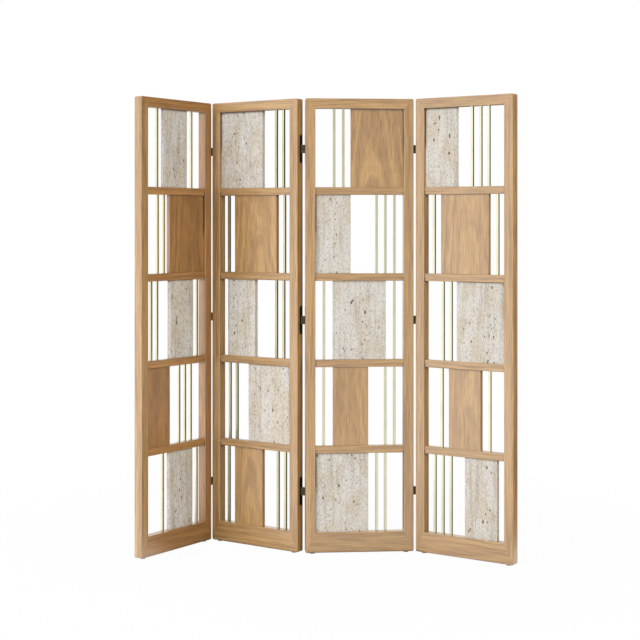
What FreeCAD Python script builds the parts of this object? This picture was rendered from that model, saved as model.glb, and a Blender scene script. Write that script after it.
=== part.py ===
"""A four-panel folding screen of oak frames, oak and stone slabs and square brass bars.

Lengths are millimetres and angles are degrees. The screen stands on the floor, +Z up, with
its origin on the floor at the middle of its outline. Its front faces -Y.

A panel is built in its own frame: x from its left edge, y from its front face to its back,
z from the underside of its bottom rail. A hinge half is built in the frame of the stile edge
that carries it: x into the stile, y away from the face that folds inward, z from the middle
of the hinge. A link is built with x from pin to pin and y away from the face that folds.
"""

import FreeCAD, Part
import math
import os

from FreeCAD import Placement, Rotation, Vector

# Panel frame
PANEL_WIDTH = 432.0
PANEL_HEIGHT = 1800.0
FRAME_DEPTH = 38.0
STILE_FACE = 40.0
TOP_RAIL_FACE = 40.0
BOTTOM_RAIL_FACE = 80.0
MID_RAIL_FACE = 30.0
BAY_COUNT = 5
ARRIS_RADIUS = 3.0
CORNER_RADIUS = 7.0
MID_RAIL_SETBACK = 5.0

# Mortise and tenon joints
TENON_THICKNESS = 12.0
TENON_LENGTH = 20.0
TENON_SHOULDER = 5.0
CORNER_TENON_LENGTH = 28.0
CORNER_TENON_WIDTH = 22.0
BOTTOM_TENON_WIDTH = 50.0
CORNER_TENON_INSET = 12.0
MORTISE_END_GAP = 1.0

# Slabs and bars
SLAB_THICKNESS = 18.0
SLAB_CHAMFER = 1.0
BAR_SIDE = 10.0
BAR_CHAMFER = 0.5
SEAT_DEPTH = 5.0
SEAT_TOP_GAP = 0.5

# Glides
GLIDE_RADIUS = 10.0
GLIDE_HEIGHT = 5.0
GLIDE_INSET = 29.0
GLIDE_SPIGOT_RADIUS = 4.0
GLIDE_SPIGOT_LENGTH = 12.0

# Gaps between two panels, seen on the faces that fold together
FLAT_GAP = 12.5
FOLDED_GAP = 2.0

# Concealed hinges
LOW_HINGE_HEIGHT = 240.0
TOP_HINGE_DROP = 200.0
PLATE_LENGTH = 114.0
PLATE_WIDTH = 20.0
PLATE_THICKNESS = 2.5
PLATE_MARGIN = 3.0
CUP_DEPTH = 16.0
CUP_WALL = 1.6
CUP_CHEEK = 6.0
POCKET_DEPTH = 12.0
PIVOT_INSET = 3.0
PIN_RADIUS = 1.6
PIN_END_GAP = 0.5
BOSS_RADIUS = 3.25
ARCH_CLEARANCE = 0.6
ARCH_THICKNESS = 4.0
LEAF_PACK_HEIGHT = 33.0
OUTER_LEAF_HEIGHT = 7.5
LEAF_GAP = 0.3
POCKET_CLEARANCE = 0.4

# Hinge screws
SCREW_SPACING = 88.0
SCREW_LENGTH = 25.0
SCREW_RADIUS = 1.9
SCREW_TIP_LENGTH = 4.0
SCREW_HEAD_RADIUS = 3.9
SCREW_HEAD_HEIGHT = 2.0
RECESS_WIDTH = 0.9
RECESS_LENGTH = 4.2
RECESS_DEPTH = 1.1

# Fits
MORTISE_CLEARANCE = 0.1
ROUND_CLEARANCE = 0.05
ROUNDING = 0.000001

# Standing pose: how far each joint is folded from flat, and how panel 3 is turned
FOLDS = {"12": 90.0, "23": 39.25, "34": 39.25}
FOLDS_TO_FRONT = {"12": True, "23": False, "34": True}
PANEL_3_HEADING = 4.75
FLAT_FOLD = 0.0
FULL_FOLD = 180.0

# What each bay holds, from the top bay down: the slab's material, the slab's two sides and
# the middles of the bars, as shares of the width between the stiles
BAY_SHARES = {
    1: (
        ("stone", (0.30, 0.70), (0.20, 0.80)),
        ("oak", (0.40, 1.00), (0.21, 0.315)),
        ("stone", (0.413, 0.813), (0.10, 0.20, 0.90)),
        ("oak", (0.00, 0.40), (0.583, 0.687, 0.79)),
        ("stone", (0.40, 0.80), (0.297, 0.897)),
    ),
    2: (
        ("stone", (0.00, 0.60), (0.782, 0.883)),
        ("oak", (0.20, 0.80), (0.10, 0.897)),
        ("stone", (0.097, 0.497), (0.784, 0.886)),
        ("stone", (0.40, 1.00), (0.113, 0.216)),
        ("oak", (0.20, 0.60), (0.098, 0.807, 0.909)),
    ),
    3: (
        ("oak", (0.40, 1.00), (0.215, 0.318)),
        ("stone", (0.00, 0.40), (0.697, 0.797, 0.90)),
        ("stone", (0.20, 0.80), (0.10, 0.90)),
        ("oak", (0.20, 0.60), (0.098, 0.797, 0.90)),
        ("stone", (0.00, 0.60), (0.697, 0.797)),
    ),
    4: (
        ("stone", (0.00, 0.40), (0.585, 0.691, 0.791)),
        ("oak", (0.20, 0.80), (0.10, 0.90)),
        ("stone", (0.40, 1.00), (0.215, 0.317)),
        ("oak", (0.30, 0.70), (0.201, 0.802)),
        ("stone", (0.503, 0.903), (0.11, 0.213, 0.316)),
    ),
}

# Sizes that follow from the ones above
INNER_WIDTH = PANEL_WIDTH - 2 * STILE_FACE
FIXED_HEIGHT = TOP_RAIL_FACE + BOTTOM_RAIL_FACE + (BAY_COUNT - 1) * MID_RAIL_FACE
BAY_HEIGHT = (PANEL_HEIGHT - FIXED_HEIGHT) / BAY_COUNT
LINK_LENGTH = FLAT_GAP + 2 * PIVOT_INSET
PIVOT_DEPTH = (LINK_LENGTH - FOLDED_GAP) / 2
ARCH_BOTTOM = PIVOT_INSET + ARCH_CLEARANCE
ARCH_TOP = ARCH_BOTTOM + ARCH_THICKNESS
LEAF_SWEEP = math.hypot(BOSS_RADIUS, ARCH_TOP)
POCKET_LOW = PIVOT_DEPTH - BOSS_RADIUS - POCKET_CLEARANCE
POCKET_HIGH = PIVOT_DEPTH + LEAF_SWEEP + POCKET_CLEARANCE
POCKET_HEIGHT = LEAF_PACK_HEIGHT + 2 * POCKET_CLEARANCE
CUP_HEIGHT = POCKET_HEIGHT + 2 * CUP_CHEEK
PLATE_MIDDLE = PLATE_MARGIN + PLATE_WIDTH / 2
TOP_HINGE_HEIGHT = PANEL_HEIGHT - TOP_HINGE_DROP
MIDDLE_HINGE_HEIGHT = (LOW_HINGE_HEIGHT + TOP_HINGE_HEIGHT) / 2
HINGE_HEIGHTS = (LOW_HINGE_HEIGHT, MIDDLE_HINGE_HEIGHT, TOP_HINGE_HEIGHT)


def same(one, other):
    """Whether two lengths agree but for rounding."""
    return abs(one - other) < ROUNDING


def box(x0, x1, y0, y1, z0, z1):
    """A box between two x, two y and two z values."""
    return Part.makeBox(x1 - x0, y1 - y0, z1 - z0, Vector(x0, y0, z0))


def cylinder(radius, height, x, y, z):
    """An upright cylinder that stands on the given point."""
    return Part.makeCylinder(radius, height, Vector(x, y, z))


def front_prism(corners):
    """A prism through the whole depth of a frame, from its corners on the front face."""
    points = [Vector(x, 0, z) for x, z in corners]
    face = Part.Face(Part.makePolygon(points + points[:1]))
    return face.extrude(Vector(0, FRAME_DEPTH, 0)).removeSplitter()


def bay_floor(bay):
    """The height of a bay's lower side; bay 0 is the top one."""
    return BOTTOM_RAIL_FACE + (BAY_COUNT - 1 - bay) * (BAY_HEIGHT + MID_RAIL_FACE)


def mirrored(corners):
    """The same outline on the other side of the panel."""
    return [(PANEL_WIDTH - x, z) for x, z in corners]


def lies_on_a_face(edge):
    """Whether an edge of the frame lies on its front or back face."""
    start, end = edge.Vertexes
    return same(start.Y, end.Y)


def runs_along(edge):
    """Whether an edge runs along the panel."""
    start, end = edge.Vertexes
    return same(start.Y, end.Y) and same(start.Z, end.Z)


def is_upright(edge):
    """Whether an edge runs straight up."""
    start, end = edge.Vertexes
    return same(start.X, end.X) and same(start.Y, end.Y)


def is_outer_corner(edge):
    """Whether an edge of the frame runs front to back at an outer corner."""
    start, end = edge.Vertexes
    runs_back = same(start.X, end.X) and same(start.Z, end.Z)
    at_side = same(start.X, 0) or same(start.X, PANEL_WIDTH)
    at_end = same(start.Z, 0) or same(start.Z, PANEL_HEIGHT)
    return runs_back and at_side and at_end


def frame_blank():
    """The stiles and end rails in one piece with their arrises rounded, before it is cut."""
    blank = box(0, PANEL_WIDTH, 0, FRAME_DEPTH, 0, PANEL_HEIGHT)
    rail_low = PANEL_HEIGHT - TOP_RAIL_FACE
    inner_side = PANEL_WIDTH - STILE_FACE
    blank = blank.cut(box(STILE_FACE, inner_side, 0, FRAME_DEPTH, BOTTOM_RAIL_FACE, rail_low))
    blank = blank.makeFillet(CORNER_RADIUS, [edge for edge in blank.Edges if is_outer_corner(edge)])
    return blank.makeFillet(ARRIS_RADIUS, [edge for edge in blank.Edges if lies_on_a_face(edge)])


def mid_rail(bay):
    """The rail below a bay without its tenons. It stands back from the faces of the stiles."""
    top = bay_floor(bay)
    low = top - MID_RAIL_FACE
    front, back = MID_RAIL_SETBACK, FRAME_DEPTH - MID_RAIL_SETBACK
    blank = box(STILE_FACE, PANEL_WIDTH - STILE_FACE, front, back, low, top)
    return blank.makeFillet(ARRIS_RADIUS, [edge for edge in blank.Edges if runs_along(edge)])


def tenon(x0, x1, z0, z1):
    """A tenon in the middle of the frame's depth."""
    low = (FRAME_DEPTH - TENON_THICKNESS) / 2
    return box(x0, x1, low, low + TENON_THICKNESS, z0, z1)


def left_tenons(end_gap):
    """Top, bottom and mid rail tenons of the left stile; end_gap lengthens them to mortises."""
    tip = STILE_FACE - CORNER_TENON_LENGTH - end_gap
    top = PANEL_HEIGHT - CORNER_TENON_INSET
    low = CORNER_TENON_INSET
    top_tenon = tenon(tip, STILE_FACE, top - CORNER_TENON_WIDTH, top)
    bottom_tenon = tenon(tip, STILE_FACE, low, low + BOTTOM_TENON_WIDTH)
    mid_tip = STILE_FACE - TENON_LENGTH - end_gap
    mid_tenons = []
    for bay in range(BAY_COUNT - 1):
        rail_top = bay_floor(bay)
        rail_low = rail_top - MID_RAIL_FACE
        mid_tenons.append(
            tenon(mid_tip, STILE_FACE, rail_low + TENON_SHOULDER, rail_top - TENON_SHOULDER)
        )
    return top_tenon, bottom_tenon, mid_tenons


def to_right(shape):
    """The same shape at the right side of the panel."""
    return shape.mirror(Vector(PANEL_WIDTH / 2, 0, 0), Vector(1, 0, 0))


def stile_outline():
    """The left stile between its mitres. Inside, each mitre ends along the line on which the
    rounded arrises of stile and rail meet."""
    rail_low = PANEL_HEIGHT - TOP_RAIL_FACE
    return [
        (0, 0),
        (STILE_FACE - ARRIS_RADIUS, BOTTOM_RAIL_FACE - ARRIS_RADIUS),
        (STILE_FACE, BOTTOM_RAIL_FACE),
        (STILE_FACE, rail_low),
        (STILE_FACE - ARRIS_RADIUS, rail_low + ARRIS_RADIUS),
        (0, PANEL_HEIGHT),
    ]


def frame_members():
    """The two stiles, the two end rails and the list of mid rails, jointed but unseated."""
    blank = frame_blank()
    left_prism = front_prism(stile_outline())
    right_prism = front_prism(mirrored(stile_outline()))
    centre = blank.cut(left_prism).cut(right_prism)
    bottom_rail, top_rail = sorted(centre.Solids, key=lambda solid: solid.CenterOfMass.z)

    top_tenon, bottom_tenon, mid_tenons = left_tenons(0)
    top_tenon = top_tenon.common(left_prism)
    bottom_tenon = bottom_tenon.common(left_prism)
    top_rail = top_rail.fuse([top_tenon, to_right(top_tenon)])
    bottom_rail = bottom_rail.fuse([bottom_tenon, to_right(bottom_tenon)])
    tenoned = []
    for bay, stub in enumerate(mid_tenons):
        tenoned.append(mid_rail(bay).fuse([stub, to_right(stub)]).removeSplitter())

    top_mortise, bottom_mortise, mid_mortises = left_tenons(MORTISE_END_GAP)
    left_stile = blank.common(left_prism).cut([top_mortise, bottom_mortise] + mid_mortises)
    right_stile = to_right(left_stile)
    return left_stile, right_stile, top_rail, bottom_rail, tenoned


def upright(x0, x1, depth, bay, top_gap):
    """An upright piece seated in the rails above and below a bay, centred in the depth."""
    front = (FRAME_DEPTH - depth) / 2
    low = bay_floor(bay) - SEAT_DEPTH
    high = bay_floor(bay) + BAY_HEIGHT + SEAT_DEPTH - top_gap
    return box(x0, x1, front, front + depth, low, high)


def slab_sides(shares):
    """The left and right sides of a slab."""
    return STILE_FACE + shares[0] * INNER_WIDTH, STILE_FACE + shares[1] * INNER_WIDTH


def bar_sides(share):
    """The left and right sides of a bar."""
    middle = STILE_FACE + share * INNER_WIDTH
    return middle - BAR_SIDE / 2, middle + BAR_SIDE / 2


def eased_upright(x0, x1, depth, bay, chamfer):
    """A slab or bar in its seats, with its four upright arrises eased."""
    blank = upright(x0, x1, depth, bay, SEAT_TOP_GAP)
    return blank.makeChamfer(chamfer, [edge for edge in blank.Edges if is_upright(edge)])


def infill(panel):
    """The oak slabs, stone slabs and bars of a panel, and the seats that the rails need."""
    slabs = {"oak": [], "stone": []}
    bars = []
    seats = []
    for bay, (material, sides, middles) in enumerate(BAY_SHARES[panel]):
        left, right = slab_sides(sides)
        slabs[material].append(eased_upright(left, right, SLAB_THICKNESS, bay, SLAB_CHAMFER))
        seats.append(upright(left, right, SLAB_THICKNESS, bay, 0))
        for middle in middles:
            left, right = bar_sides(middle)
            bars.append(eased_upright(left, right, BAR_SIDE, bay, BAR_CHAMFER))
            seats.append(upright(left, right, BAR_SIDE, bay, 0))
    return slabs["oak"], slabs["stone"], bars, seats


def glide(x):
    """A round glide with its spigot, under the bottom rail."""
    middle = FRAME_DEPTH / 2
    disc = cylinder(GLIDE_RADIUS, GLIDE_HEIGHT, x, middle, -GLIDE_HEIGHT)
    return disc.fuse(cylinder(GLIDE_SPIGOT_RADIUS, GLIDE_SPIGOT_LENGTH, x, middle, 0)).removeSplitter()


def glide_bore(x):
    """The bore for a glide's spigot."""
    length = GLIDE_SPIGOT_LENGTH + MORTISE_END_GAP
    return cylinder(GLIDE_SPIGOT_RADIUS + ROUND_CLEARANCE, length, x, FRAME_DEPTH / 2, 0)


def plate_blank(growth):
    """A hinge's face plate with rounded ends, as a solid block grown sideways by a clearance."""
    radius = PLATE_WIDTH / 2 + growth
    reach = PLATE_LENGTH / 2 - PLATE_WIDTH / 2
    middle = box(0, PLATE_THICKNESS, PLATE_MIDDLE - radius, PLATE_MIDDLE + radius, -reach, reach)
    ends = []
    for side in (-1, 1):
        centre = Vector(0, PLATE_MIDDLE, side * reach)
        ends.append(Part.makeCylinder(radius, PLATE_THICKNESS, centre, Vector(1, 0, 0)))
    return middle.fuse(ends).removeSplitter()


def cup_blank(growth):
    """The block behind a hinge's face plate, grown sideways by a clearance."""
    low = POCKET_LOW - CUP_WALL - growth
    high = POCKET_HIGH + CUP_WALL + growth
    reach = CUP_HEIGHT / 2 + growth
    return box(0, CUP_DEPTH, low, high, -reach, reach)


def screw(growth, recessed):
    """A countersunk screw driven into the stile edge, at the middle of the hinge."""
    shank = SCREW_LENGTH - SCREW_HEAD_HEIGHT - SCREW_TIP_LENGTH
    axis = Vector(1, 0, 0)
    radius = SCREW_RADIUS + growth
    head = Part.makeCone(
        SCREW_HEAD_RADIUS + growth, radius, SCREW_HEAD_HEIGHT, Vector(0, PLATE_MIDDLE, 0), axis
    )
    body = Part.makeCylinder(radius, shank, Vector(SCREW_HEAD_HEIGHT, PLATE_MIDDLE, 0), axis)
    tip_start = Vector(SCREW_HEAD_HEIGHT + shank, PLATE_MIDDLE, 0)
    tip = Part.makeCone(radius, growth, SCREW_TIP_LENGTH, tip_start, axis)
    solid = head.fuse([body, tip]).removeSplitter()
    if recessed:
        half_width, half_length = RECESS_WIDTH / 2, RECESS_LENGTH / 2
        for wide, tall in ((half_width, half_length), (half_length, half_width)):
            low, high = PLATE_MIDDLE - wide, PLATE_MIDDLE + wide
            solid = solid.cut(box(0, RECESS_DEPTH, low, high, -tall, tall))
    return solid


def screw_pair(growth, recessed):
    """The two screws of one hinge body."""
    pair = []
    for side in (-1, 1):
        one = screw(growth, recessed)
        one.translate(Vector(0, 0, side * SCREW_SPACING / 2))
        pair.append(one)
    return pair


def hinge_body():
    """A face plate with its cup, open pocket, pin bores and countersunk screw holes."""
    pocket_reach = POCKET_HEIGHT / 2
    pocket = box(0, POCKET_DEPTH, POCKET_LOW, POCKET_HIGH, -pocket_reach, pocket_reach)
    bore = cylinder(PIN_RADIUS + ROUND_CLEARANCE, CUP_HEIGHT, PIVOT_INSET, PIVOT_DEPTH, -CUP_HEIGHT / 2)
    solid = plate_blank(0).fuse(cup_blank(0)).removeSplitter()
    return solid.cut([pocket, bore] + screw_pair(ROUND_CLEARANCE, False))


def hinge_mortise():
    """What the stile loses for one hinge body and its two screws."""
    recess = plate_blank(MORTISE_CLEARANCE).fuse(cup_blank(MORTISE_CLEARANCE))
    return recess.fuse(screw_pair(ROUND_CLEARANCE, False))


def pin(x, y):
    """A pin through the leaves and into the cheeks above and below."""
    length = CUP_HEIGHT - 2 * PIN_END_GAP
    return cylinder(PIN_RADIUS, length, x, y, -length / 2)


def is_crown(edge):
    """Whether an edge of a leaf is one of its two upright edges farthest from the pins."""
    return is_upright(edge) and same(edge.Vertexes[0].Y, ARCH_TOP)


def leaf(low, high):
    """An arched leaf on two pins: it clears the stile corners when the faces fold together."""
    height = high - low
    side = LINK_LENGTH + BOSS_RADIUS
    solid = box(-BOSS_RADIUS, side, 0, ARCH_TOP, low, high)
    solid = solid.cut(box(BOSS_RADIUS, LINK_LENGTH - BOSS_RADIUS, 0, ARCH_BOTTOM, low, high))
    solid = solid.makeFillet(BOSS_RADIUS, [edge for edge in solid.Edges if is_crown(edge)])
    bosses = [cylinder(BOSS_RADIUS, height, x, 0, low) for x in (0, LINK_LENGTH)]
    holes = [cylinder(PIN_RADIUS + ROUND_CLEARANCE, height, x, 0, low) for x in (0, LINK_LENGTH)]
    return solid.fuse(bosses).removeSplitter().cut(holes)


def leaf_pack():
    """The three leaves of one hinge, two low ones outside a tall one."""
    reach = LEAF_PACK_HEIGHT / 2
    inner = reach - OUTER_LEAF_HEIGHT
    spans = (
        (-reach, -inner),
        (-inner + LEAF_GAP, inner - LEAF_GAP),
        (inner, reach),
    )
    return [leaf(low, high) for low, high in spans]


def edge_placement(on_right, folds_to_front, height):
    """Where a hinge half sits in its panel. It is the same upside down, so turns will do."""
    x = PANEL_WIDTH if on_right else 0
    y = 0 if folds_to_front else FRAME_DEPTH
    if on_right and folds_to_front:
        turn = Rotation(Vector(0, 1, 0), 180)
    elif on_right:
        turn = Rotation(Vector(0, 0, 1), 180)
    elif folds_to_front:
        turn = Rotation()
    else:
        turn = Rotation(Vector(1, 0, 0), 180)
    return Placement(Vector(x, y, height), turn)


def placed(shapes, placement):
    """Copies of shapes, moved together."""
    copies = []
    for shape in shapes:
        copy = shape.copy()
        copy.Placement = placement.multiply(copy.Placement)
        copies.append(copy)
    return copies


def stile_joints(panel):
    """The joints on a panel's stiles: joint name, and whether it is the panel's right side."""
    joints = []
    for name in FOLDS:
        if str(panel) == name[0]:
            joints.append((name, True))
        elif str(panel) == name[1]:
            joints.append((name, False))
    return joints


def pivot_point(panel_is_left, folds_to_front):
    """A hinge pin's place in its panel's plan."""
    x = PANEL_WIDTH - PIVOT_INSET if panel_is_left else PIVOT_INSET
    y = PIVOT_DEPTH if folds_to_front else FRAME_DEPTH - PIVOT_DEPTH
    return Vector(x, y, 0)


def turned(point, heading):
    """A plan point turned about +Z."""
    return Rotation(Vector(0, 0, 1), heading).multVec(point)


def headings():
    """How each panel is turned in the standing pose."""
    turns = {3: PANEL_3_HEADING}
    turns[2] = turns[3] - FOLDS["23"]
    turns[1] = turns[2] + FOLDS["12"]
    turns[4] = turns[3] - FOLDS["34"]
    return turns


def standing_plan():
    """Each panel's corner and heading, and each link's first pin and heading, centred."""
    turns = headings()
    corners = {1: Vector(0, 0, 0)}
    links = {}
    for name in FOLDS:
        left, right = int(name[0]), int(name[1])
        to_front = FOLDS_TO_FRONT[name]
        heading = (turns[left] + turns[right]) / 2
        start = corners[left] + turned(pivot_point(True, to_front), turns[left])
        end = start + turned(Vector(LINK_LENGTH, 0, 0), heading)
        corners[right] = end - turned(pivot_point(False, to_front), turns[right])
        links[name] = (start, heading)
    middle = outline_middle(corners, turns)
    panels = {panel: (corners[panel] - middle, turns[panel]) for panel in corners}
    links = {name: (start - middle, heading) for name, (start, heading) in links.items()}
    return panels, links


def outline_middle(corners, turns):
    """The middle of the box round all panels, whose corners are rounded by the arris."""
    xs, ys = [], []
    for panel, corner in corners.items():
        for x in (ARRIS_RADIUS, PANEL_WIDTH - ARRIS_RADIUS):
            for y in (ARRIS_RADIUS, FRAME_DEPTH - ARRIS_RADIUS):
                point = corner + turned(Vector(x, y, 0), turns[panel])
                xs.append(point.x)
                ys.append(point.y)
    return Vector((min(xs) + max(xs)) / 2, (min(ys) + max(ys)) / 2, 0)


def export(name, shapes):
    """Write one node as a STEP file."""
    Part.makeCompound(shapes).exportStep(f"parts/{name}.step")


def build_panel(panel, members, placement):
    """All pieces of one panel, with the hinge halves that it carries."""
    left_stile, right_stile, top_rail, bottom_rail, mid_rails = members
    oak, stone, bars, seats = infill(panel)
    glide_places = (GLIDE_INSET, PANEL_WIDTH - GLIDE_INSET)
    stiles = {False: left_stile, True: right_stile}
    bodies, mortises, screws = [hinge_body()], [hinge_mortise()], screw_pair(0, True)
    for joint, on_right in stile_joints(panel):
        side = "left" if on_right else "right"
        halves, fixings = [], []
        for height in HINGE_HEIGHTS:
            seat = edge_placement(on_right, FOLDS_TO_FRONT[joint], height)
            stiles[on_right] = stiles[on_right].cut(placed(mortises, seat))
            halves += placed(bodies, seat)
            fixings += placed(screws, seat)
        export(f"hinge_{joint}_{side}_bodies", placed(halves, placement))
        export(f"hinge_{joint}_{side}_screws", placed(fixings, placement))

    nodes = {
        "stile_left": [stiles[False]],
        "stile_right": [stiles[True]],
        "top_rail": [top_rail.cut(seats)],
        "bottom_rail": [bottom_rail.cut(seats + [glide_bore(x) for x in glide_places])],
        "mid_rails": [rail.cut(seats) for rail in mid_rails],
        "oak_slabs": oak,
        "stone_slabs": stone,
        "brass_bars": bars,
        "glides": [glide(x) for x in glide_places],
    }
    for name, shapes in nodes.items():
        export(f"panel_{panel}_{name}", placed(shapes, placement))


def build_links(joint, start, heading):
    """The leaves and pins of one joint's hinges."""
    turn = Rotation(Vector(0, 0, 1), heading)
    if not FOLDS_TO_FRONT[joint]:
        turn = turn.multiply(Rotation(Vector(1, 0, 0), 180))
    leaves, pins = [], []
    for height in HINGE_HEIGHTS:
        place = Placement(start + Vector(0, 0, GLIDE_HEIGHT + height), turn)
        leaves += placed(leaf_pack(), place)
        pins += placed([pin(x, 0) for x in (0, LINK_LENGTH)], place)
    export(f"hinge_{joint}_links", leaves)
    export(f"hinge_{joint}_pins", pins)
    end = start + turned(Vector(LINK_LENGTH, 0, 0), heading)
    fold = FOLDS[joint] / 2
    print(f"joint {joint}: left pin {start.x:.4f} {start.y:.4f}, right pin {end.x:.4f} {end.y:.4f}")
    print(f"joint {joint}: each pin turns from {FLAT_FOLD - fold:g} to {FULL_FOLD / 2 - fold:g}")


def main():
    os.makedirs("parts", exist_ok=True)
    panels, links = standing_plan()
    members = frame_members()
    for panel, (corner, heading) in panels.items():
        turn = Rotation(Vector(0, 0, 1), heading)
        build_panel(panel, members, Placement(corner + Vector(0, 0, GLIDE_HEIGHT), turn))
        glide_spot = corner + turned(Vector(GLIDE_INSET, FRAME_DEPTH / 2, 0), heading)
        print(f"panel {panel}: left glide at {glide_spot.x:.4f} {glide_spot.y:.4f}")
    for joint, (start, heading) in links.items():
        build_links(joint, start, heading)


main()
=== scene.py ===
"""The looks of a four-panel folding screen: oak frames and slabs, travertine slabs, brass
bars, dark bronze hinges and nylon glides, on a plain stage.

Lengths are metres, in the frame of the packed model. Each panel's wood and stone are worked
out in that panel's own directions: x along the panel, y from front to back and z up, from
its front left edge.
"""

import math

import bpy
import numpy as np
from bpy.props import FloatProperty, FloatVectorProperty, IntProperty, PointerProperty
from bpy.types import Operator, Panel, PropertyGroup
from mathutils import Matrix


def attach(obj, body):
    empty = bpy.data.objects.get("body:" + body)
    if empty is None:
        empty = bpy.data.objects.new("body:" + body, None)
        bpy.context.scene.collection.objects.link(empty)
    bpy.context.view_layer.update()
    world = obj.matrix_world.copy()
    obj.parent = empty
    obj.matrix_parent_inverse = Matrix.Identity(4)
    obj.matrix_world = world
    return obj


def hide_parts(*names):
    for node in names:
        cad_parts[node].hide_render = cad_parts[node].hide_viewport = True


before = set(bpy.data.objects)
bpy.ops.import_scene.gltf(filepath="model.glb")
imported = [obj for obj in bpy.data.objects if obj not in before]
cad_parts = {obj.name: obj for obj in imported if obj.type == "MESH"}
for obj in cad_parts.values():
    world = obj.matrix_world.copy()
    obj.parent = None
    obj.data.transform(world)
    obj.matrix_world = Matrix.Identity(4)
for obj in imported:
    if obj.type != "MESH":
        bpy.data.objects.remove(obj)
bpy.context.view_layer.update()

bl_info = {
    "name": "Folding Screen",
    "version": (1, 0, 0),
    "blender": (4, 5, 0),
    "location": "View3D > Sidebar > Folding Screen",
    "description": "Dresses a folding screen of oak, travertine and brass",
    "category": "Object",
}

# Each panel's front left edge in plan, and how far the panel is turned about +Z, in degrees
PANEL_PLANS = {
    1: ((-0.709398, -0.140200), 55.5),
    2: ((-0.462164, 0.216295), -34.5),
    3: ((-0.074409, -0.036821), 4.75),
    4: ((0.363169, -0.002924), -34.5),
}
FRAME_PIECES = ("stile_left", "stile_right", "top_rail", "bottom_rail", "mid_rails")
# Painted warm shade on panel 1's boards but the left stile, which stand in the corner lit by light
# bounced off panel 2's oak: these factors on the oak's red, green and blue
WARM_SHADE_BOARDS = [f"panel_1_{piece}" for piece in (*FRAME_PIECES[1:], "oak_slabs")]
PAINTED_WARM_SHADE = (1.0, 0.84, 0.68)
MM = 0.001

# The lowest bay with half a mid rail below and above it, and how far apart in the log the oak
# slabs of neighbouring bays are cut
BAY_START = 0.070
BAY_PITCH = 0.342
BAY_STEP_IN_LOG = 0.019

# The mesh of a travertine slab: its arrises, and how much taller than wide its cells are
SLAB_ARRIS = 1.0 * MM
CELL_STRETCH = 1.35
DECIMETRES_IN_METRE = 10

# The reach of the painted shade in the corners under the rails, the depth at which a pit's painted
# shade is darkest, and how fine the pores are
SHADE_UNDER_RAIL_WIDTH = 12 * MM
PIT_SHADE_FULL_DEPTH = 1.1 * MM
PORES_PER_METRE = 190.0

# Where the random draws start
FRAME_SEED = 7603
OAK_SLAB_SEED = 2408

# The stage
FLOOR_REACH = 20.0
CAMERA_PLACE = (-0.0168, -5.7171, 1.3013)
CAMERA_SHIFT = -0.1478
SENSOR_WIDTH = 36.0


def linear(hex_colour):
    """A linear colour with alpha from an sRGB hex value."""
    parts = np.array([int(hex_colour[i : i + 2], 16) for i in (0, 2, 4)]) / 255
    low = parts / 12.92
    high = ((parts + 0.055) / 1.055) ** 2.4
    return (*np.where(parts <= 0.04045, low, high).tolist(), 1.0)


def shaded(colour, factor):
    """A linear colour made lighter or darker, by one factor or by one for each part."""
    return (*np.minimum(1.0, np.multiply(tuple(colour)[:3], factor)).tolist(), 1.0)


class OakSettings(PropertyGroup):
    """Solid oak under matt lacquer."""

    light: FloatVectorProperty(
        name="Latewood", description="Colour of the dense wood", subtype="COLOR", size=4,
        min=0, max=1, default=linear("C29A60"),
    )
    dark: FloatVectorProperty(
        name="Earlywood", description="Colour of the porous wood", subtype="COLOR", size=4,
        min=0, max=1, default=linear("7E5931"),
    )
    ring: FloatProperty(
        name="Ring width", description="Growth ring width, drawn coarser than the real 3 mm",
        subtype="DISTANCE", unit="LENGTH", min=0.001, default=9.0 * MM,
    )
    pore: FloatProperty(
        name="Pore width",
        description="Width of the open grain, drawn coarser than the real 0.3 mm",
        subtype="DISTANCE", unit="LENGTH", min=0.0002, default=1.2 * MM,
    )


class StoneSettings(PropertyGroup):
    """Travertine cut along its veins and honed, with its pits left open."""

    pale: FloatVectorProperty(
        name="Ground", description="Colour of the body of the stone", subtype="COLOR", size=4,
        min=0, max=1, default=linear("D3CFC8"),
    )
    warm: FloatVectorProperty(
        name="Warm patch", description="Colour of the beige patches", subtype="COLOR", size=4,
        min=0, max=1, default=linear("CBC0AE"),
    )
    vein: FloatVectorProperty(
        name="Vein", description="Colour of the veins", subtype="COLOR", size=4,
        min=0, max=1, default=linear("A89F91"),
    )
    # The pit colour is painted shade: pits are darkened by it, more the deeper they are
    pit: FloatVectorProperty(
        name="Pit", description="Colour deep in the pits", subtype="COLOR", size=4,
        min=0, max=1, default=linear("55452F"),
    )
    cell: FloatProperty(
        name="Mesh cell", description="Spacing of the slab's mesh across the veins",
        subtype="DISTANCE", unit="LENGTH", min=0.001, default=1.8 * MM,
    )
    pits: IntProperty(
        name="Pits", description="Pits in each square decimetre of a face", min=0, default=5,
    )


class MetalSettings(PropertyGroup):
    """Brass, dark bronze and dark steel."""

    brass: FloatVectorProperty(
        name="Brass", description="Reflection of the bars", subtype="COLOR", size=4,
        min=0, max=1, default=linear("C4BFA3"),
    )
    bronze: FloatVectorProperty(
        name="Bronze", description="Colour of the hinge plates and screws", subtype="COLOR",
        size=4, min=0, max=1, default=linear("5C4427"),
    )
    steel: FloatVectorProperty(
        name="Steel", description="Colour of the hinge leaves and pins", subtype="COLOR",
        size=4, min=0, max=1, default=linear("3E3A30"),
    )


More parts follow.
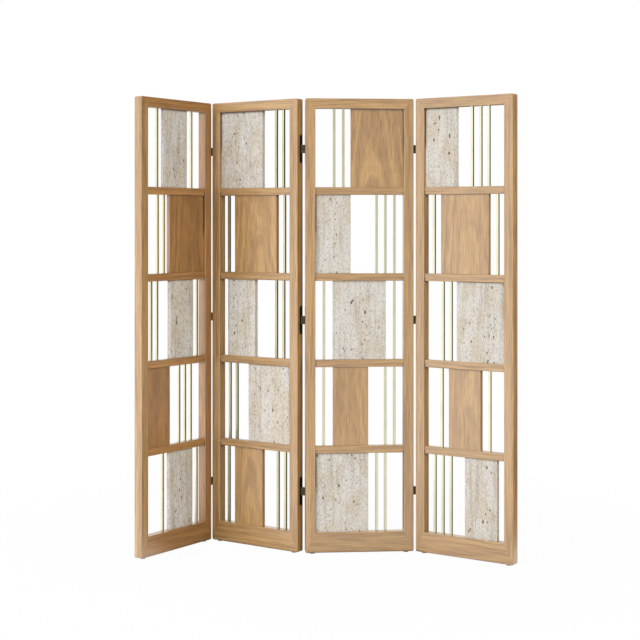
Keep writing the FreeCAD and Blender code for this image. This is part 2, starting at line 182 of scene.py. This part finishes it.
class StageSettings(PropertyGroup):
    """The camera, the lamps and the floor."""

    lens: FloatProperty(
        name="Lens", description="Focal length on a 36 mm wide sensor",
        subtype="DISTANCE_CAMERA", unit="CAMERA", min=1, default=80.79,
    )
    key_level: FloatProperty(
        name="Key level", description="Light that the high key brings to a face turned to it",
        min=0, default=0.27,
    )
    side_level: FloatProperty(
        name="Side level", description="Light that the left window brings to a face turned to it",
        min=0, default=0.20,
    )
    fill_level: FloatProperty(
        name="Fill level", description="Light that the low fill brings to a face turned to it",
        min=0, default=0.29,
    )
    low_level: FloatProperty(
        name="Low level", description="Light that the strip by the floor brings to the feet",
        min=0, default=0.29,
    )
    right_level: FloatProperty(
        name="Right level", description="Light that the right lamp brings to the right ends",
        min=0, default=0.22,
    )
    room_level: FloatProperty(
        name="Room level", description="Light from above and all round", min=0, default=0.47,
    )


def add(tree, kind, sockets, **settings):
    """A node with its settings, its sockets set to values or linked to other sockets."""
    node = tree.nodes.new(kind)
    for name, value in settings.items():
        setattr(node, name, value)
    for name, value in sockets.items():
        if isinstance(value, bpy.types.NodeSocket):
            tree.links.new(value, node.inputs[name])
        else:
            node.inputs[name].default_value = value
    return node


def new_material(name):
    """An empty node material with its output, and its node tree."""
    material = bpy.data.materials.new(name)
    material.use_nodes = True
    tree = material.node_tree
    tree.nodes.clear()
    return material, tree


def panel_coordinates(tree, panel):
    """Object coordinates turned into the panel's own directions."""
    (x, y), heading = PANEL_PLANS[panel]
    objects = add(tree, "ShaderNodeTexCoord", {}).outputs["Object"]
    place = {"Vector": objects, "Location": (x, y, 0), "Rotation": (0, 0, math.radians(heading))}
    return add(tree, "ShaderNodeMapping", place, vector_type="TEXTURE").outputs[0]


def stretched_noise(tree, fibres, size, length, detail=2.0, roughness=0.6, **more):
    """Noise whose marks are so wide across the fibres and so long along them, in metres."""
    place = {"Vector": fibres, "Scale": (1, 1, size / length)}
    squeezed = add(tree, "ShaderNodeMapping", place).outputs[0]
    sockets = {"Vector": squeezed, "Scale": 1 / size, "Detail": detail, "Roughness": roughness}
    return add(tree, "ShaderNodeTexNoise", {**sockets, **more})


def ramp(tree, value, low, high, start=0.0, end=1.0, smooth=True):
    """A value between low and high spread over start to end."""
    kind = "SMOOTHSTEP" if smooth else "LINEAR"
    sockets = {"Value": value, "From Min": low, "From Max": high, "To Min": start, "To Max": end}
    return add(tree, "ShaderNodeMapRange", sockets, interpolation_type=kind).outputs[0]


def blend(tree, factor, first, second):
    """A mix of two numbers."""
    return add(tree, "ShaderNodeMix", {"Factor": factor, "A": first, "B": second}).outputs[0]


def tint(tree, factor, first, second):
    """A mix of two colours."""
    sockets = {"Factor": factor, "A": first, "B": second}
    return add(tree, "ShaderNodeMix", sockets, data_type="RGBA").outputs[2]


def math_node(tree, operation, *values):
    """The result of a calculation."""
    return add(tree, "ShaderNodeMath", dict(enumerate(values)), operation=operation).outputs[0]


def painted_shade_under_rails(tree, colour, dark):
    """The colour with painted shade in the corners where one piece meets another, in the upper
    half of each bay, under a rail, as if in the rail's shadow; corners on top of a rail get none.
    The painted shade fades out within 12 mm."""
    sockets = {"Distance": SHADE_UNDER_RAIL_WIDTH}
    openness = add(tree, "ShaderNodeAmbientOcclusion", sockets, samples=8).outputs["AO"]
    # Painted shade: the less open a spot is within 12 mm, the darker it is painted
    corner = ramp(tree, openness, 0.94, 0.52, 0.0, 0.95, smooth=False)
    objects = add(tree, "ShaderNodeTexCoord", {}).outputs["Object"]
    level = add(tree, "ShaderNodeSeparateXYZ", {"Vector": objects}).outputs["Z"]
    rise = math_node(tree, "MULTIPLY", math_node(tree, "SUBTRACT", level, BAY_START), 1 / BAY_PITCH)
    # Only the upper half of each bay, under a rail, gets the painted shade
    upper = ramp(tree, math_node(tree, "FRACT", rise), 0.4, 0.6)
    return tint(tree, math_node(tree, "MULTIPLY", corner, upper), colour, dark)


def oak(node, tree_of_board):
    """Flat-lacquered oak. Bands of pale and darker brown follow the growth rings, which are
    circles round the board's pith: a board cut beside the pith shows arches, and one cut
    across the rings shows straight lines. Short dark flecks of open grain lie along the
    fibres. The lacquer is a thin satin coat that lays a soft white sheen over the brown."""
    settings = bpy.context.scene.screen_oak
    material, tree = new_material(f"oak_matt_{node}")
    fibres, tone = tree_of_board(tree)
    # Panel 1's boards get painted warm shade, standing in for light bounced off panel 2
    if node in WARM_SHADE_BOARDS:
        tone = tone * np.array(PAINTED_WARM_SHADE)

    drift = stretched_noise(tree, fibres, 0.11, 0.50).outputs["Color"]
    centred = add(
        tree, "ShaderNodeVectorMath", {0: drift, 1: (0.5, 0.5, 0.5)}, operation="SUBTRACT"
    )
    warped = add(
        tree, "ShaderNodeVectorMath",
        {0: centred.outputs[0], 1: (0.05, 0.05, 0), 2: fibres}, operation="MULTIPLY_ADD",
    )
    cross = add(
        tree, "ShaderNodeVectorMath", {0: warped.outputs[0], 1: (1, 1, 0)}, operation="MULTIPLY"
    )
    radius = add(tree, "ShaderNodeVectorMath", {0: cross.outputs[0]}, operation="LENGTH")
    ring = math_node(tree, "MULTIPLY", radius.outputs["Value"], 1 / settings.ring)
    along = add(tree, "ShaderNodeSeparateXYZ", {"Vector": fibres}).outputs["Z"]
    slow = math_node(tree, "MULTIPLY", along, 1.6)
    years = add(tree, "ShaderNodeCombineXYZ", {"X": ring, "Y": slow}).outputs[0]
    year = add(
        tree, "ShaderNodeTexNoise",
        {"Vector": years, "Scale": 0.8, "Detail": 3.0, "Roughness": 0.6},
        noise_dimensions="2D",
    ).outputs["Fac"]
    phase = math_node(tree, "FRACT", ring)
    figure = blend(
        tree, 0.22, ramp(tree, year, 0.34, 0.66), ramp(tree, phase, 0.0, 0.8, 1.0, 0.0)
    )
    broad = ramp(tree, stretched_noise(tree, fibres, 0.030, 0.45).outputs["Fac"], 0.3, 0.7)
    flecks = stretched_noise(tree, fibres, settings.pore * 3.5, 0.110, 3.0, 0.65).outputs["Fac"]
    fleck = ramp(tree, flecks, 0.36, 0.68)
    vessels = stretched_noise(tree, fibres, settings.pore * 2, 0.060, 2.0, 0.7).outputs["Fac"]
    vessel = ramp(tree, vessels, 0.54, 0.74)

    depth = blend(tree, 0.40, blend(tree, 0.25, figure, broad), fleck)
    wood = tint(tree, depth, shaded(settings.light, tone), shaded(settings.dark, tone))
    grain = math_node(tree, "MULTIPLY", vessel, 0.35)
    grained = tint(tree, grain, wood, shaded(settings.dark, tone * 0.62))
    # Painted shade in the corners under the rails, in dark oak
    colour = painted_shade_under_rails(tree, grained, shaded(settings.dark, 0.25))
    relief = blend(tree, 0.3, vessel, figure)
    bump = add(
        tree, "ShaderNodeBump",
        {"Height": relief, "Strength": 0.35, "Distance": 0.25 * MM}, invert=True,
    )
    surface = add(
        tree, "ShaderNodeBsdfPrincipled",
        {"Base Color": colour, "Roughness": ramp(tree, vessel, 0, 1, 0.46, 0.62, smooth=False),
         "Normal": bump.outputs[0], "IOR": 1.5, "Specular IOR Level": 0.15, "Coat Weight": 1.0,
         "Coat Roughness": 0.3, "Coat IOR": 1.8},
    )
    add(tree, "ShaderNodeOutputMaterial", {"Surface": surface.outputs[0]})
    return material


def straight_board(panel, along_panel, chance):
    """How a stile or rail is cut from the log: its pith lies well outside the board. Some
    boards are a little paler or darker than others."""
    tone = chance.uniform(0.88, 1.06)
    pith = (chance.uniform(0.05, 0.11), chance.uniform(0.04, 0.09), chance.uniform(0, 3))
    lean = (chance.uniform(-0.012, 0.012), chance.uniform(-0.012, 0.012), 0)
    quarter = math.pi / 2 if along_panel else 0

    def lay(tree):
        local = panel_coordinates(tree, panel)
        place = {"Vector": local, "Location": pith, "Rotation": (lean[0], lean[1] + quarter, 0)}
        return add(tree, "ShaderNodeMapping", place).outputs[0], tone

    return lay


def slab_boxes(panel, node):
    """The low and high corner of each slab of a node, in the panel's own directions, from the
    top bay down. The slabs lie one above the other, so their heights come in pairs."""
    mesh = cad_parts[node].data
    points = np.empty(len(mesh.vertices) * 3, np.float32)
    mesh.vertices.foreach_get("co", points)
    points = points.reshape(-1, 3).astype(float)
    (x, y), heading = PANEL_PLANS[panel]
    cos, sin = math.cos(math.radians(heading)), math.sin(math.radians(heading))
    flat = points[:, :2] - (x, y)
    local = np.column_stack((flat @ (cos, sin), flat @ (-sin, cos), points[:, 2]))
    levels = np.unique(np.round(local[:, 2], 4)).reshape(-1, 2)
    boxes = []
    for low, high in levels[::-1]:
        inside = local[(local[:, 2] > low - MM) & (local[:, 2] < high + MM)]
        boxes.append((inside.min(0), inside.max(0)))
    return boxes


def bay_of(box):
    """Which bay a slab stands in, counted from the floor."""
    return int((box[0][2] - BAY_START) // BAY_PITCH)


def slab_board(panel, chance):
    """How a panel's two oak slabs are cut: beside the pith, which leans a little, so each face
    shows arches. The pith follows the middle of the slab from bay to bay, and each bay takes
    its own length of the log."""
    boxes = slab_boxes(panel, f"panel_{panel}_oak_slabs")
    upper, lower = boxes
    bays = [bay_of(box) for box in boxes]
    middles = [(box[0][0] + box[1][0]) / 2 for box in boxes]
    slope = (middles[0] - middles[1]) / (bays[0] - bays[1])
    start = middles[1] - slope * bays[1]
    aside = chance.uniform(-0.03, 0.03)
    behind = chance.uniform(0.02, 0.04)
    lean = chance.uniform(0.03, 0.06)
    tone = chance.uniform(0.88, 1.06)

    def lay(tree):
        local = panel_coordinates(tree, panel)
        split = add(tree, "ShaderNodeSeparateXYZ", {"Vector": local})
        rise = math_node(
            tree, "MULTIPLY_ADD", split.outputs["Z"], 1 / BAY_PITCH, -BAY_START / BAY_PITCH
        )
        bay = math_node(tree, "FLOOR", rise)
        height = math_node(tree, "FRACT", rise)
        shift = math_node(tree, "MULTIPLY_ADD", bay, -slope, split.outputs["X"])
        length = math_node(tree, "MULTIPLY", height, BAY_PITCH)
        own = math_node(tree, "MULTIPLY_ADD", bay, BAY_STEP_IN_LOG, split.outputs["Y"])
        piece = add(tree, "ShaderNodeCombineXYZ", {"X": shift, "Y": own, "Z": length})
        place = {
            "Vector": piece.outputs[0],
            "Location": (aside - start, behind, 0),
            "Rotation": (-lean, 0, 0),
        }
        return add(tree, "ShaderNodeMapping", place).outputs[0], tone

    return lay


def travertine(panel):
    """Honed travertine, cut along the veins: a matt limestone, grey-white with warm beige
    patches, soft upright veins and many short upright marks. Its open pits get painted shade
    inside, darker the deeper they are, and small pits drawn by the shader alone get lighter painted
    shade. The mesh carries how deep each pit is."""
    settings = bpy.context.scene.screen_stone
    material, tree = new_material(f"travertine_honed_panel_{panel}")
    local = panel_coordinates(tree, panel)
    place = {"Vector": local, "Location": (panel * 3.7, panel * 1.9, 0)}
    stone = add(tree, "ShaderNodeMapping", place).outputs[0]
    patches = stretched_noise(tree, stone, 0.060, 0.12, 3.0, 0.6, Distortion=0.5).outputs["Fac"]
    patch = ramp(tree, patches, 0.40, 0.66)
    veins = stretched_noise(tree, stone, 0.016, 0.22, 3.0, 0.6, Distortion=0.3).outputs["Fac"]
    vein = ramp(tree, veins, 0.46, 0.72, 0.0, 0.62)
    marks = stretched_noise(tree, stone, 0.0045, 0.011, 3.0, 0.65).outputs["Fac"]
    mark = ramp(tree, marks, 0.50, 0.68, 0.0, 0.68)
    pale = ramp(tree, marks, 0.46, 0.32, 0.0, 0.5)
    ground = tint(tree, patch, tuple(settings.pale), tuple(settings.warm))
    veined = tint(tree, vein, ground, tuple(settings.vein))
    bright = tint(tree, pale, veined, shaded(settings.pale, 1.12))
    flecked = tint(tree, mark, bright, shaded(settings.vein, 0.78))

    # Small pits that the mesh doesn't carry: dark spots of painted shade, with a bump
    upright = add(tree, "ShaderNodeMapping", {"Vector": stone, "Scale": (1, 1, 0.5)}).outputs[0]
    pores = add(
        tree, "ShaderNodeTexVoronoi",
        {"Vector": upright, "Scale": PORES_PER_METRE, "Randomness": 1.0},
    )
    chosen = math_node(tree, "GREATER_THAN", pores.outputs["Color"], 0.70)
    small = math_node(
        tree, "MULTIPLY", ramp(tree, pores.outputs["Distance"], 0.12, 0.34, 1.0, 0.0), chosen
    )
    # Painted shade in the pits: the mesh's pits by their depth, the small ones at 0.45 of full
    # shade
    hollow = add(tree, "ShaderNodeAttribute", {}, attribute_name="pit").outputs["Fac"]
    deep = math_node(tree, "MAXIMUM", math_node(tree, "MULTIPLY", small, 0.45), hollow)
    pit_shaded = tint(tree, deep, flecked, tuple(settings.pit))
    # Painted shade in the corners under the rails, in the pit colour
    colour = painted_shade_under_rails(tree, pit_shaded, tuple(settings.pit))
    bump = add(
        tree, "ShaderNodeBump",
        {"Height": blend(tree, 0.7, marks, small), "Strength": 0.5, "Distance": 0.4 * MM},
        invert=True,
    )
    surface = add(
        tree, "ShaderNodeBsdfPrincipled",
        {"Base Color": colour, "Roughness": 0.66, "Normal": bump.outputs[0], "IOR": 1.5,
         "Specular IOR Level": 0.25},
    )
    add(tree, "ShaderNodeOutputMaterial", {"Surface": surface.outputs[0]})
    return material


def metal(name, colour, roughness, scratch, brushed):
    """A satin metal. Brushing runs up the bars, so the polish marks are long and upright; the
    cast and pressed hinge parts have an even satin instead."""
    material, tree = new_material(name)
    objects = add(tree, "ShaderNodeTexCoord", {}).outputs["Object"]
    stretch = 0.012 if brushed else 1.0
    marks_map = add(tree, "ShaderNodeMapping", {"Vector": objects, "Scale": (1, 1, stretch)})
    marks = add(
        tree, "ShaderNodeTexNoise",
        {"Vector": marks_map.outputs[0], "Scale": 1 / scratch, "Detail": 3.0, "Roughness": 0.65},
    )
    cloud = add(tree, "ShaderNodeTexNoise", {"Vector": objects, "Scale": 14.0, "Detail": 2.0})
    tone = ramp(tree, cloud.outputs["Fac"], 0.3, 0.7, 0.0, 0.5, smooth=False)
    low, high = roughness - 0.06, roughness + 0.08
    gloss = ramp(tree, marks.outputs["Fac"], 0.3, 0.7, low, high, smooth=False)
    bump = add(
        tree, "ShaderNodeBump",
        {"Height": marks.outputs["Fac"], "Strength": 0.2, "Distance": 0.05 * MM},
    )
    surface = add(
        tree, "ShaderNodeBsdfPrincipled",
        {"Base Color": tint(tree, tone, tuple(colour), shaded(colour, 0.78)),
         "Metallic": 1.0, "Roughness": gloss, "Normal": bump.outputs[0]},
    )
    add(tree, "ShaderNodeOutputMaterial", {"Surface": surface.outputs[0]})
    return material


def nylon():
    """Hard tan nylon, moulded: a dull skin with a fine even grain."""
    material, tree = new_material("moulded_nylon")
    objects = add(tree, "ShaderNodeTexCoord", {}).outputs["Object"]
    grain = add(tree, "ShaderNodeTexNoise", {"Vector": objects, "Scale": 900.0, "Detail": 2.0})
    bump = add(
        tree, "ShaderNodeBump",
        {"Height": grain.outputs["Fac"], "Strength": 0.3, "Distance": 0.1 * MM},
    )
    surface = add(
        tree, "ShaderNodeBsdfPrincipled",
        {"Base Color": tint(tree, grain.outputs["Fac"], linear("C0A077"), linear("A98A63")),
         "Roughness": 0.55, "Normal": bump.outputs[0]},
    )
    add(tree, "ShaderNodeOutputMaterial", {"Surface": surface.outputs[0]})
    return material


def give(node, material):
    """Put a material on a CAD node."""
    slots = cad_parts[node].data.materials
    slots.clear()
    slots.append(material)


def pit_depths(across, up, width, height, density, chance):
    """How deep a slab's face is at each point of a grid. Each pit is half an ellipsoid, taller
    than it is wide, and most pits lie along a few upright veins. Where pits meet, the deeper
    one counts. The depth fades out beside the slab's arrises."""
    count = int(density * width * height * DECIMETRES_IN_METRE**2)
    veins = chance.uniform(0.1, 0.9, 5) * width
    near_vein = chance.random(count) < 0.65
    beside = chance.choice(veins, count) + chance.normal(0, 5 * MM, count)
    middle_x = np.where(near_vein, beside, chance.uniform(0, width, count))[:, None, None]
    middle_z = chance.uniform(0, height, count)[:, None, None]
    half_wide = np.clip(chance.lognormal(math.log(1.7), 0.35, count), 1.2, 3.4) * MM
    half_tall = half_wide * chance.uniform(1.2, 3.2, count)
    deepest = half_wide * chance.uniform(0.7, 1.2, count)
    bowl = (
        1
        - ((across - middle_x) / half_wide[:, None, None]) ** 2
        - ((up - middle_z) / half_tall[:, None, None]) ** 2
    )
    depth = (deepest[:, None, None] * np.sqrt(np.clip(bowl, 0, 1))).max(0)
    edge = np.minimum.reduce((across, width - across, up, height - up))
    return depth * np.clip(edge / (4 * MM) - 0.5, 0, 1)


def stone_slab(name, panel, low, high, material, seed):
    """A closed slab. Front and back are grids over width and height, pushed in where
    pit_depths says. Round them run two rings at the slab's full size, so each arris is a
    narrow 45 degree face."""
    settings = bpy.context.scene.screen_stone
    arris = SLAB_ARRIS
    (width, thickness, height) = high - low
    columns = int(round(width / settings.cell))
    rows = int(round(height / (settings.cell * CELL_STRETCH)))
    chance = np.random.default_rng(seed)
    across, up = np.meshgrid(
        np.linspace(arris, width - arris, columns + 1), np.linspace(arris, height - arris, rows + 1)
    )
    front = pit_depths(across, up, width, height, settings.pits, chance)
    back = pit_depths(across, up, width, height, settings.pits, chance)
    grid = np.arange((rows + 1) * (columns + 1)).reshape(rows + 1, columns + 1)
    border = np.concatenate((grid[0, :-1], grid[:-1, -1], grid[-1, :0:-1], grid[:0:-1, 0]))
    flat = np.column_stack((across.ravel(), up.ravel()))
    ring = flat[border]
    for axis, size in ((0, width), (1, height)):
        ring[:, axis] = np.where(ring[:, axis] < 1.5 * arris, 0, ring[:, axis])
        ring[:, axis] = np.where(ring[:, axis] > size - 1.5 * arris, size, ring[:, axis])
    layers = (
        (flat, front.ravel()),
        (ring, np.full(len(ring), arris)),
        (ring, np.full(len(ring), thickness - arris)),
        (flat, thickness - back.ravel()),
    )
    local = np.concatenate([np.column_stack((p[:, 0], d, p[:, 1])) for p, d in layers]) + low
    count, edge = grid.size, len(border)
    ring_points = np.arange(edge) + count
    loops = [border, ring_points, ring_points + edge, border + count + 2 * edge]
    face = np.stack((grid[:-1, :-1], grid[:-1, 1:], grid[1:, 1:], grid[1:, :-1]), -1).reshape(-1, 4)
    quads = [face, face[:, ::-1] + count + 2 * edge]
    for near, far in zip(loops[:-1], loops[1:]):
        following = np.roll(near, -1), np.roll(far, -1)
        quads.append(np.stack((far, following[1], following[0], near), -1))

    (x, y), heading = PANEL_PLANS[panel]
    cos, sin = math.cos(math.radians(heading)), math.sin(math.radians(heading))
    turned = local @ np.array(((cos, sin, 0), (-sin, cos, 0), (0, 0, 1))) + (x, y, 0)
    mesh = bpy.data.meshes.new(name)
    mesh.from_pydata(turned, [], np.concatenate(quads))
    # How much painted shade each point of a pit gets: its depth over the depth of the darkest shade
    pit = np.concatenate((front.ravel(), np.zeros(2 * edge), back.ravel())) / PIT_SHADE_FULL_DEPTH
    mesh.attributes.new("pit", "FLOAT", "POINT").data.foreach_set("value", np.clip(pit, 0, 0.9))
    mesh.shade_smooth()
    mesh.set_sharp_from_angle(angle=math.radians(35))
    mesh.materials.append(material)
    slab = bpy.data.objects.new(name, mesh)
    bpy.context.scene.collection.objects.link(slab)
    return slab


class SCREEN_OT_frames(Operator):
    """Give each stile and rail its own board of oak."""

    bl_idname = "screen.frames"
    bl_label = "Dress the frames"

    def execute(self, context):
        for panel in PANEL_PLANS:
            for order, piece in enumerate(FRAME_PIECES):
                node = f"panel_{panel}_{piece}"
                chance = np.random.default_rng(FRAME_SEED + 10 * panel + order)
                board = straight_board(panel, "rail" in piece, chance)
                give(node, oak(node, board))
        return {"FINISHED"}


class SCREEN_OT_oak_slabs(Operator):
    """Give the oak slabs an arched figure."""

    bl_idname = "screen.oak_slabs"
    bl_label = "Dress the oak slabs"

    def execute(self, context):
        for panel in PANEL_PLANS:
            node = f"panel_{panel}_oak_slabs"
            chance = np.random.default_rng(OAK_SLAB_SEED + panel)
            give(node, oak(node, slab_board(panel, chance)))
        return {"FINISHED"}


class SCREEN_OT_stone_slabs(Operator):
    """Make the travertine slabs with their open pits."""

    bl_idname = "screen.stone_slabs"
    bl_label = "Make the travertine slabs"

    def execute(self, context):
        for panel in PANEL_PLANS:
            material = travertine(panel)
            node = f"panel_{panel}_stone_slabs"
            for low, high in slab_boxes(panel, node):
                bay = bay_of((low, high))
                name = f"panel_{panel}_travertine_bay_{bay + 1}"
                slab = stone_slab(name, panel, low, high, material, 10 * panel + bay)
                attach(slab, f"panel_{panel}")
                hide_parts(node)
        return {"FINISHED"}


class SCREEN_OT_bars(Operator):
    """Give the bars brushed brass."""

    bl_idname = "screen.bars"
    bl_label = "Dress the bars"

    def execute(self, context):
        brass = metal("brass_brushed", context.scene.screen_metal.brass, 0.26, 0.8 * MM, True)
        for panel in PANEL_PLANS:
            give(f"panel_{panel}_brass_bars", brass)
        return {"FINISHED"}


class SCREEN_OT_hinges(Operator):
    """Give the hinge parts dark bronze and dark steel."""

    bl_idname = "screen.hinges"
    bl_label = "Dress the hinges"

    def execute(self, context):
        settings = context.scene.screen_metal
        bronze = metal("bronze_dark_satin", settings.bronze, 0.42, 1.5 * MM, False)
        steel = metal("steel_dark_oiled", settings.steel, 0.34, 1.5 * MM, False)
        for joint in ("12", "23", "34"):
            for part in ("left_bodies", "right_bodies", "left_screws", "right_screws"):
                give(f"hinge_{joint}_{part}", bronze)
            for part in ("links", "pins"):
                give(f"hinge_{joint}_{part}", steel)
        return {"FINISHED"}


class SCREEN_OT_glides(Operator):
    """Give the glides moulded nylon."""

    bl_idname = "screen.glides"
    bl_label = "Dress the glides"

    def execute(self, context):
        material = nylon()
        for panel in PANEL_PLANS:
            give(f"panel_{panel}_glides", material)
        return {"FINISHED"}


def floor_material():
    """A plain white floor. The camera sees it near white, with the screen's faint shadow, and
    it fades into the white backdrop away from the screen. Gloss sees it bright in front of
    the screen, brightest on the left, and dark behind it."""
    material, tree = new_material("studio_floor")
    objects = add(tree, "ShaderNodeTexCoord", {}).outputs["Object"]
    distance = add(tree, "ShaderNodeVectorMath", {0: objects}, operation="LENGTH")
    fade = ramp(tree, distance.outputs["Value"], 0.9, 2.6, 0.97, 1.0)
    path = add(tree, "ShaderNodeLightPath", {})
    direct = math_node(
        tree, "MAXIMUM", path.outputs["Is Camera Ray"], path.outputs["Is Transmission Ray"]
    )
    seen = math_node(tree, "MULTIPLY", fade, direct)
    share = math_node(tree, "MAXIMUM", seen, path.outputs["Is Glossy Ray"])
    lit = add(tree, "ShaderNodeBsdfDiffuse", {"Color": (0.70, 0.70, 0.70, 1)})
    place = add(tree, "ShaderNodeSeparateXYZ", {"Vector": objects}).outputs
    before = ramp(tree, place["Y"], -0.15, 0.05, 1.45, 0.10)
    sheen = math_node(tree, "ADD", before, ramp(tree, place["X"], -0.3, -1.0, 0.0, 0.6))
    bright = blend(tree, path.outputs["Is Glossy Ray"], 1.0, sheen)
    plain = add(tree, "ShaderNodeEmission", {"Color": (1, 1, 1, 1), "Strength": bright})
    mix = add(tree, "ShaderNodeMixShader", {0: share, 1: lit.outputs[0], 2: plain.outputs[0]})
    add(tree, "ShaderNodeOutputMaterial", {"Surface": mix.outputs[0]})
    return material


def room_light(level):
    """Soft light from all round, strongest from straight above. The backdrop is plain white to
    the camera and through glass. Gloss sees a studio that is brightest on the left, bright in
    front and behind, and dark on the right."""
    world = bpy.data.worlds.new("studio_room")
    bpy.context.scene.world = world
    world.use_nodes = True
    tree = world.node_tree
    tree.nodes.clear()
    path = add(tree, "ShaderNodeLightPath", {})
    direct = math_node(
        tree, "MAXIMUM", path.outputs["Is Camera Ray"], path.outputs["Is Transmission Ray"]
    )
    heading = add(tree, "ShaderNodeTexCoord", {}).outputs["Generated"]
    side = add(tree, "ShaderNodeSeparateXYZ", {"Vector": heading}).outputs
    front = ramp(tree, side["X"], 0.05, 0.85, 1.25, 0.04, smooth=False)
    left = math_node(tree, "ADD", front, ramp(tree, side["X"], -0.35, -0.85, 0.0, 0.65))
    studio = math_node(tree, "MAXIMUM", left, ramp(tree, side["Y"], 0.45, 0.85, 0.0, 1.1))
    sky = ramp(tree, side["Z"], 0.0, 1.0, 0.5 * level, 1.6 * level, smooth=False)
    room = blend(tree, path.outputs["Is Glossy Ray"], sky, studio)
    sockets = {"Color": (1, 1, 1, 1), "Strength": blend(tree, direct, room, 1.0)}
    light = add(tree, "ShaderNodeBackground", sockets)
    add(tree, "ShaderNodeOutputWorld", {"Surface": light.outputs[0]})


def lamp(name, place, target, size, level):
    """A square soft lamp. Its power is worked out from the light that it brings to a white
    face turned to it at the target: pi squared times the square of the distance."""
    data = bpy.data.lights.new(name, "AREA")
    data.shape = "RECTANGLE"
    data.size, data.size_y = size
    place, target = np.array(place), np.array(target)
    data.energy = level * math.pi**2 * float(((target - place) ** 2).sum())
    light = bpy.data.objects.new(name, data)
    light.location = place
    aim = target - place
    light.rotation_euler = (
        math.atan2(math.hypot(aim[0], aim[1]), -aim[2]), 0, math.atan2(aim[1], aim[0]) - math.pi / 2
    )
    light.visible_camera = False
    bpy.context.scene.collection.objects.link(light)
    return light


class SCREEN_OT_stage(Operator):
    """Set up the floor, the backdrop, the lamps and the camera."""

    bl_idname = "screen.stage"
    bl_label = "Set the stage"

    def execute(self, context):
        settings = context.scene.screen_stage
        context.scene.view_settings.view_transform = "Standard"
        mesh = bpy.data.meshes.new("studio_floor")
        reach = FLOOR_REACH
        corners = [(-reach, -reach, 0), (reach, -reach, 0), (reach, reach, 0), (-reach, reach, 0)]
        mesh.from_pydata(np.array(corners), [], [(0, 1, 2, 3)])
        mesh.materials.append(floor_material())
        floor = bpy.data.objects.new("studio_floor", mesh)
        context.scene.collection.objects.link(floor)

        room_light(settings.room_level)
        middle = (0.0, 0.0, 0.9)
        lamp("key_lamp", (-8.0, -6.4, 9.0), middle, (5.0, 5.0), settings.key_level)
        side = lamp("side_lamp", (-4.6, -2.3, 1.1), middle, (3.0, 3.0), settings.side_level)
        side.visible_glossy = False
        fill = lamp("fill_lamp", (4.0, -7.5, 6.0), middle, (4.0, 3.0), settings.fill_level)
        fill.visible_glossy = False
        low = lamp("low_lamp", (-1.5, -1.7, 0.3), (0, 0, 0.3), (2.4, 0.5), settings.low_level)
        low.visible_glossy = False
        right = lamp("right_lamp", (5.0, -0.7, 1.2), middle, (2.0, 2.5), settings.right_level)
        right.visible_glossy = False
        right.data.color = (1.0, 0.84, 0.68)

        data = bpy.data.cameras.new("camera")
        data.lens = settings.lens
        data.sensor_width = SENSOR_WIDTH
        data.shift_y = CAMERA_SHIFT
        camera = bpy.data.objects.new("camera", data)
        camera.location = CAMERA_PLACE
        camera.rotation_euler = (math.pi / 2, 0, 0)
        context.scene.collection.objects.link(camera)
        context.scene.camera = camera
        return {"FINISHED"}


STEPS = (
    SCREEN_OT_stage,
    SCREEN_OT_frames,
    SCREEN_OT_oak_slabs,
    SCREEN_OT_stone_slabs,
    SCREEN_OT_bars,
    SCREEN_OT_hinges,
    SCREEN_OT_glides,
)
GROUPS = {
    "screen_oak": OakSettings,
    "screen_stone": StoneSettings,
    "screen_metal": MetalSettings,
    "screen_stage": StageSettings,
}


class SCREEN_PT_sidebar(Panel):
    """The screen's settings and the steps that dress it."""

    bl_label = "Folding Screen"
    bl_space_type = "VIEW_3D"
    bl_region_type = "UI"
    bl_category = "Folding Screen"

    def draw(self, context):
        layout = self.layout
        for group, kind in GROUPS.items():
            settings = getattr(context.scene, group)
            box = layout.box()
            box.label(text=kind.__doc__)
            for name in kind.__annotations__:
                box.prop(settings, name)
        for step in STEPS:
            layout.operator(step.bl_idname)


def register():
    """Add the classes and the scene's settings."""
    for kind in (*GROUPS.values(), *STEPS, SCREEN_PT_sidebar):
        bpy.utils.register_class(kind)
    for group, kind in GROUPS.items():
        setattr(bpy.types.Scene, group, PointerProperty(type=kind))


def unregister():
    """Take them away again."""
    for group in GROUPS:
        delattr(bpy.types.Scene, group)
    for kind in reversed((*GROUPS.values(), *STEPS, SCREEN_PT_sidebar)):
        bpy.utils.unregister_class(kind)


def main():
    """Dress the whole screen."""
    register()
    bpy.ops.screen.stage()
    bpy.ops.screen.frames()
    bpy.ops.screen.oak_slabs()
    bpy.ops.screen.stone_slabs()
    bpy.ops.screen.bars()
    bpy.ops.screen.hinges()
    bpy.ops.screen.glides()


if __name__ == "__main__":
    main()
